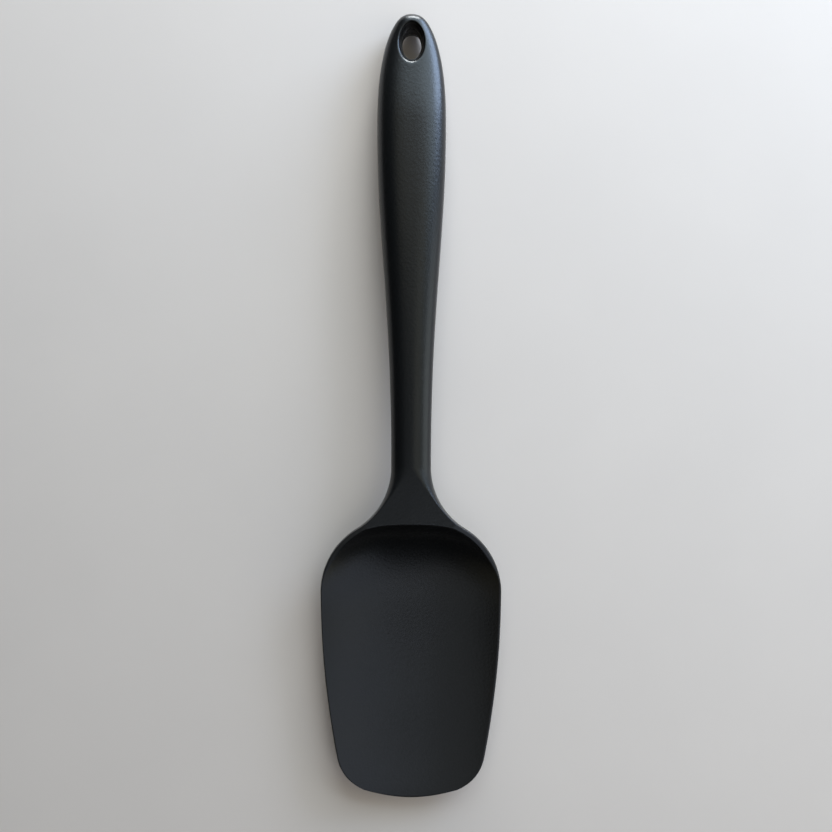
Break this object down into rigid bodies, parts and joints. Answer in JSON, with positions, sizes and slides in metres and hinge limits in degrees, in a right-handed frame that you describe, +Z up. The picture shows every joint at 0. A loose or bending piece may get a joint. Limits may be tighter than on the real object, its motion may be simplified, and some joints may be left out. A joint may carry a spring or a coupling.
{
  "type": "spoon spatula",
  "caption": "Kitchen spoon spatula with a shallow round-cornered bowl, slim neck, oval grip and a hang hole, in soft silicone moulded over a stiff inner core.",
  "frame": {"origin": "on the table, under the middle of the overall length, with the part lying bowl up", "axes": "+Y towards the end of the handle with the hang hole, +Z up out of the bowl, +X to the right seen from above with the handle away"},
  "size_m": [0.0636, 0.2794, 0.0172],
  "materials": {
    "silicone": "matte",
    "core_nylon": "matte"
  },
  "bodies": {
    "root": {"silicone_body": "silicone", "nylon_core": "core_nylon"}
  },
  "joints": []
}
